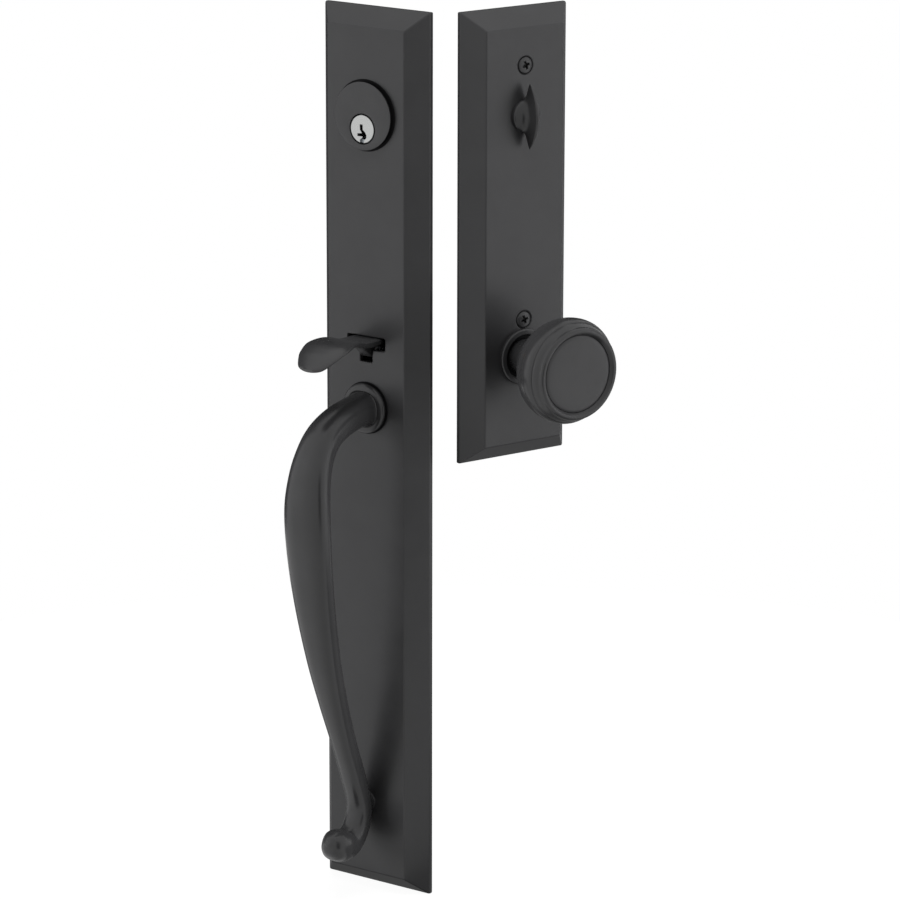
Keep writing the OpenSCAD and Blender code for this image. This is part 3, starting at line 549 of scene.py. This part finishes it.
def knob_bowl():
    """The knob: a turned neck, a deep round bowl that ends in a small step and a hollow, and a round rim, opened
    in front for the disc."""
    profile = np.vstack([
        rounded([(0, .8), (8, .8), (8, 8.5), (10.5, 8.5), (10.5, 32)], [0.3, 0.2, 0.3]),
        smooth_line([(10.5, 32), (11, 33.6), (12.3, 34.9), (14.5, 35.4), (19.2, 35.6)], 4)[1:],
        arc((19.6, 36.9), 1.3, -90, 30, 12),
        smooth_line([(20.73, 37.55), (22.6, 39), (24.7, 41.7), (26.8, 44.7), (28.5, 47.8), (29.6, 51),
                     (30.3, 54.2), (30.6, 57.4), (30.35, 60), (29.6, 61.8)], 6)[1:],
        rounded([(29.6, 61.8), (29.3, 62.2), (28.95, 62.3), (28.7, 63.4)], 0.2)[1:],
        smooth_line([(28.7, 63.4), (28, 64.8), (27.2, 66), (26.8, 67)], 5)[1:],
        arc((24.9, 67), 1.9, 0, 140, 20)[1:],
        [(22.9, 67.3), (22.6, 66.95), (22.6, 64.6), (0, 64.6)]])
    surface("knob_bowl", "knob_shell", INSIDE, turned(profile, KNOB, 176), crease=40)


def knob_disc():
    """The disc in the knob's front: a turned plate with a sloped edge and a slight crown."""
    profile = rounded([(0, 64.6), (22.4, 64.6), (22.4, 66.9), (21, 67.45), (17.3, 67.65), (0, 67.8)],
                      [0.2, 0.3, 0.8, 3])
    surface("knob_disc", "knob_face", INSIDE, turned(profile, KNOB, 160))


def knob_ring():
    """The rose at the knob's foot: a low turned ring with a round outer edge, wide open round the neck."""
    profile = np.vstack([[(13.2, PLATE), (16.5, PLATE)], arc((15.4, 15.6), 1.1, 0, 90, 12),
                         [(13.6, 16.7), (13.2, 16.3), (13.2, PLATE)]])
    surface("knob_ring", "knob_rose", INSIDE, turned(profile, KNOB))


def lever_coil():
    """The lever's spring: a helix of radius 3.4 about the pivot, 1.6 mm a turn, with a leg at each end. The first
    leg lies by the lever and the last one by the plate, but the coil is baked in place and rides on no body, so
    neither leg follows them."""
    v, d = PIVOT
    r = 3.4
    turn = np.linspace(0, 3.75, 150)
    f = np.radians(90) + FULL_TURN * turn
    coil = np.column_stack([6 + 1.6 * turn, v + r * np.sin(f), d + r * np.cos(f)])
    reach = np.linspace(1, 0.12, 8)[:, None]
    first = coil[0] + reach * ((6, v + r, d + 4.4) - coil[0])
    last = coil[-1] + reach[::-1] * ((12, 11.15, d + r) - coil[-1])
    on_plate, on_lever = (place(OUTSIDE, (x, v, d)) for x in (11.4, 6.7))
    surface("lever_coil", "lever_spring", OUTSIDE, wire(np.vstack([first, coil, last]), 0.55), crease=60,
            bends=("plates", "lever", on_plate, on_lever))


def return_coil():
    """The knob's spring: two and a half turns of radius 12.6 that rise 1.45 mm a turn, and two hanging legs. The
    first leg lies on the plate, short of the hub arm's sweep, and the last one by the hub, inside the plate's
    stops. The coil is baked in place and rides on no body, so neither leg follows the hub."""
    r = 12.6
    turn = np.linspace(0, 2.5, 160)
    f = np.pi - FULL_TURN * turn
    coil = np.column_stack([r * np.cos(f), KNOB + r * np.sin(f), 1.1 + 1.45 * turn])
    reach = np.linspace(1, 0.08, 12)[:, None]
    first = coil[0] + reach * ((-r, KNOB - 4.2, coil[0, 2]) - coil[0])
    last = coil[-1] + reach[::-1] * ((r, KNOB - 16, coil[-1, 2]) - coil[-1])
    on_plate, on_hub = (place(INSIDE, (0, KNOB, depth)) for depth in (1.7, 4.1))
    surface("return_coil", "return_spring", INSIDE, wire(np.vstack([first, coil, last]), 0.5), crease=60,
            bends=("plates", "knob", on_plate, on_hub))


for make in (cylinder_collar, cap_washers, grip_bar, grip_collar, thumb_paddle, turn_leaf, bolt_washers,
             knob_bowl, knob_disc, knob_ring, lever_coil, return_coil):
    make()


def toward(azimuth, elevation):
    """A unit direction: azimuth in degrees from the outside plate's front towards +X, elevation up."""
    a, e = math.radians(azimuth), math.radians(elevation)
    return Vector((math.sin(a) * math.cos(e), -math.cos(a) * math.cos(e), math.sin(e)))


MIDDLE = Vector((0.04, 0.02, -0.02))
LAMP_SIDE = 1.0
FLOOR_RADIUS = 0.62
FLOOR_SIDES = 96
FLOOR_DROP = 0.0002
CARD_DROP = 0.0001
BOARD_DISTANCE = 0.75
BOARD_STEPS = 24
PURE_WHITE = (1, 1, 1, 1)


def soft_box(name, azimuth, elevation, distance, radiance):
    """A square lamp that faces the set. Its power is pi times its area times its radiance. A gloss shows the
    white room in its place."""
    lamp = bpy.data.lights.new(name, "AREA")
    lamp.shape = "RECTANGLE"
    lamp.size = lamp.size_y = LAMP_SIDE
    lamp.energy = math.pi * LAMP_SIDE**2 * radiance
    holder = bpy.data.objects.new(name, lamp)
    away = toward(azimuth, elevation)
    facing = away.to_track_quat("Z", "Y").to_matrix().to_4x4()
    holder.matrix_world = Matrix.Translation(MIDDLE + away * distance) @ facing
    holder.visible_camera = holder.visible_glossy = False
    bpy.context.scene.collection.objects.link(holder)


WHITE_ROOM = ("Is Camera Ray", "Is Glossy Ray", "Is Transmission Ray")


def sees_white(tree):
    """1 on rays that see the white room; 0 on the others, which carry its light."""
    path = add(tree, "ShaderNodeLightPath").outputs
    seen = path[WHITE_ROOM[0]]
    for kind in WHITE_ROOM[1:]:
        seen = add(tree, "ShaderNodeMath", {"operation": "MAXIMUM"}, n0=seen, n1=path[kind]).outputs[0]
    return seen


def white_floor(tree):
    """Matt white board: seen as white, with the part that the lamps light drawn on top so a shadow stays."""
    seen = add(tree, "ShaderNodeEmission", color=PURE_WHITE, strength=0.94)
    lit = add(tree, "ShaderNodeBsdfDiffuse", color=(0.1, 0.1, 0.1, 1))
    both = add(tree, "ShaderNodeAddShader", n0=seen.outputs[0], n1=lit.outputs[0])
    bounce = add(tree, "ShaderNodeBsdfDiffuse", color=(0.2, 0.2, 0.2, 1))
    return add(tree, "ShaderNodeMixShader", fac=sees_white(tree), n1=bounce.outputs[0], n2=both.outputs[0])


def dull_black(tree):
    """Black felt on a board that a gloss mirrors as a dark band."""
    return add(tree, "ShaderNodeBsdfDiffuse", color=(0.01, 0.01, 0.01, 1))


def grey_card(tree):
    """A grey card laid under the back of the set, so that the lower bevels mirror less white than the faces."""
    return add(tree, "ShaderNodeEmission", color=PURE_WHITE, strength=0.24)


def stage_piece(name, points, faces, material):
    """A flat piece of the studio, which isn't part of the set."""
    mesh = bpy.data.meshes.new(name)
    mesh.from_pydata(points, [], faces)
    mesh.materials.append(material)
    piece = bpy.data.objects.new(name, mesh)
    bpy.context.scene.collection.objects.link(piece)
    return piece


low = CAD_BOX[0].z
rim = np.linspace(0, FULL_TURN, FLOOR_SIDES, endpoint=False)
disc = np.column_stack([MIDDLE.x + FLOOR_RADIUS * np.cos(rim), MIDDLE.y + FLOOR_RADIUS * np.sin(rim),
                        np.full(FLOOR_SIDES, low - FLOOR_DROP)])
stage_piece("floor", disc.tolist(), [list(range(FLOOR_SIDES))], finish("white board", white_floor))


def only_in_gloss(piece):
    """Hides a piece of the studio from everything but mirrored rays."""
    piece.visible_camera = piece.visible_diffuse = piece.visible_shadow = False


def dark_board(name, first, last, top):
    """An upright black board on the floor, curved round the set between two azimuths, that only a gloss shows."""
    a = np.radians(np.linspace(first, last, BOARD_STEPS))
    ring = np.column_stack([MIDDLE.x + BOARD_DISTANCE * np.sin(a), MIDDLE.y - BOARD_DISTANCE * np.cos(a)])
    points = np.vstack([np.column_stack([ring, np.full(BOARD_STEPS, z)]) for z in (low, top)])
    k = np.arange(BOARD_STEPS - 1)
    faces = np.column_stack([k, k + 1, k + 1 + BOARD_STEPS, k + BOARD_STEPS])
    only_in_gloss(stage_piece(name, points.tolist(), faces.tolist(), finish(name + " felt", dull_black)))


behind = [(-0.5, -0.03), (0.5, -0.03), (0.5, 0.55), (-0.5, 0.55)]
only_in_gloss(stage_piece("floor card", [(x, y, low - CARD_DROP) for x, y in behind], [[0, 1, 2, 3]],
                          finish("grey card", grey_card)))

dark_board("right board", 38, 58, top=0.12)
dark_board("side board", 134, 170, top=0.5)
dark_board("back board", 184, 288, top=0.85)

# The side boxes face the two trims and put the soft shadows right of the grip and left of the knob.
soft_box("left soft box", -46, 0, 1.6, radiance=8)
soft_box("right soft box", 122, 0, 1.6, radiance=10.5)
soft_box("top soft box", 30, 78, 1.5, radiance=4.5)
soft_box("back soft box", 208, 22, 1.6, radiance=5)

world = bpy.data.worlds.new("white studio")
bpy.context.scene.world = world
world.use_nodes = True
room = world.node_tree
room.nodes.clear()
fill = add(room, "ShaderNodeBackground", color=PURE_WHITE, strength=0.25)
white = add(room, "ShaderNodeBackground", color=PURE_WHITE, strength=1.0)
mixed = add(room, "ShaderNodeMixShader", fac=sees_white(room), n1=fill.outputs[0], n2=white.outputs[0])
add(room, "ShaderNodeOutputWorld", surface=mixed.outputs[0])

# The camera that was fitted to the photo: its place, its direction and a small roll.
camera = bpy.data.cameras.new("camera")
camera.lens = 176.9
camera.sensor_width = 36.0
camera.clip_start = 0.05
eye = bpy.data.objects.new("camera", camera)
eye.location = (1.4724, -2.0036, 0.6007)
roll = Quaternion((0, 0, 1), math.radians(0.12))
eye.rotation_euler = (toward(35.39, 14.88).to_track_quat("Z", "Y") @ roll).to_euler()
bpy.context.scene.collection.objects.link(eye)
bpy.context.scene.camera = eye
bpy.context.scene.view_settings.view_transform = "Standard"

bpy.context.view_layer.update()
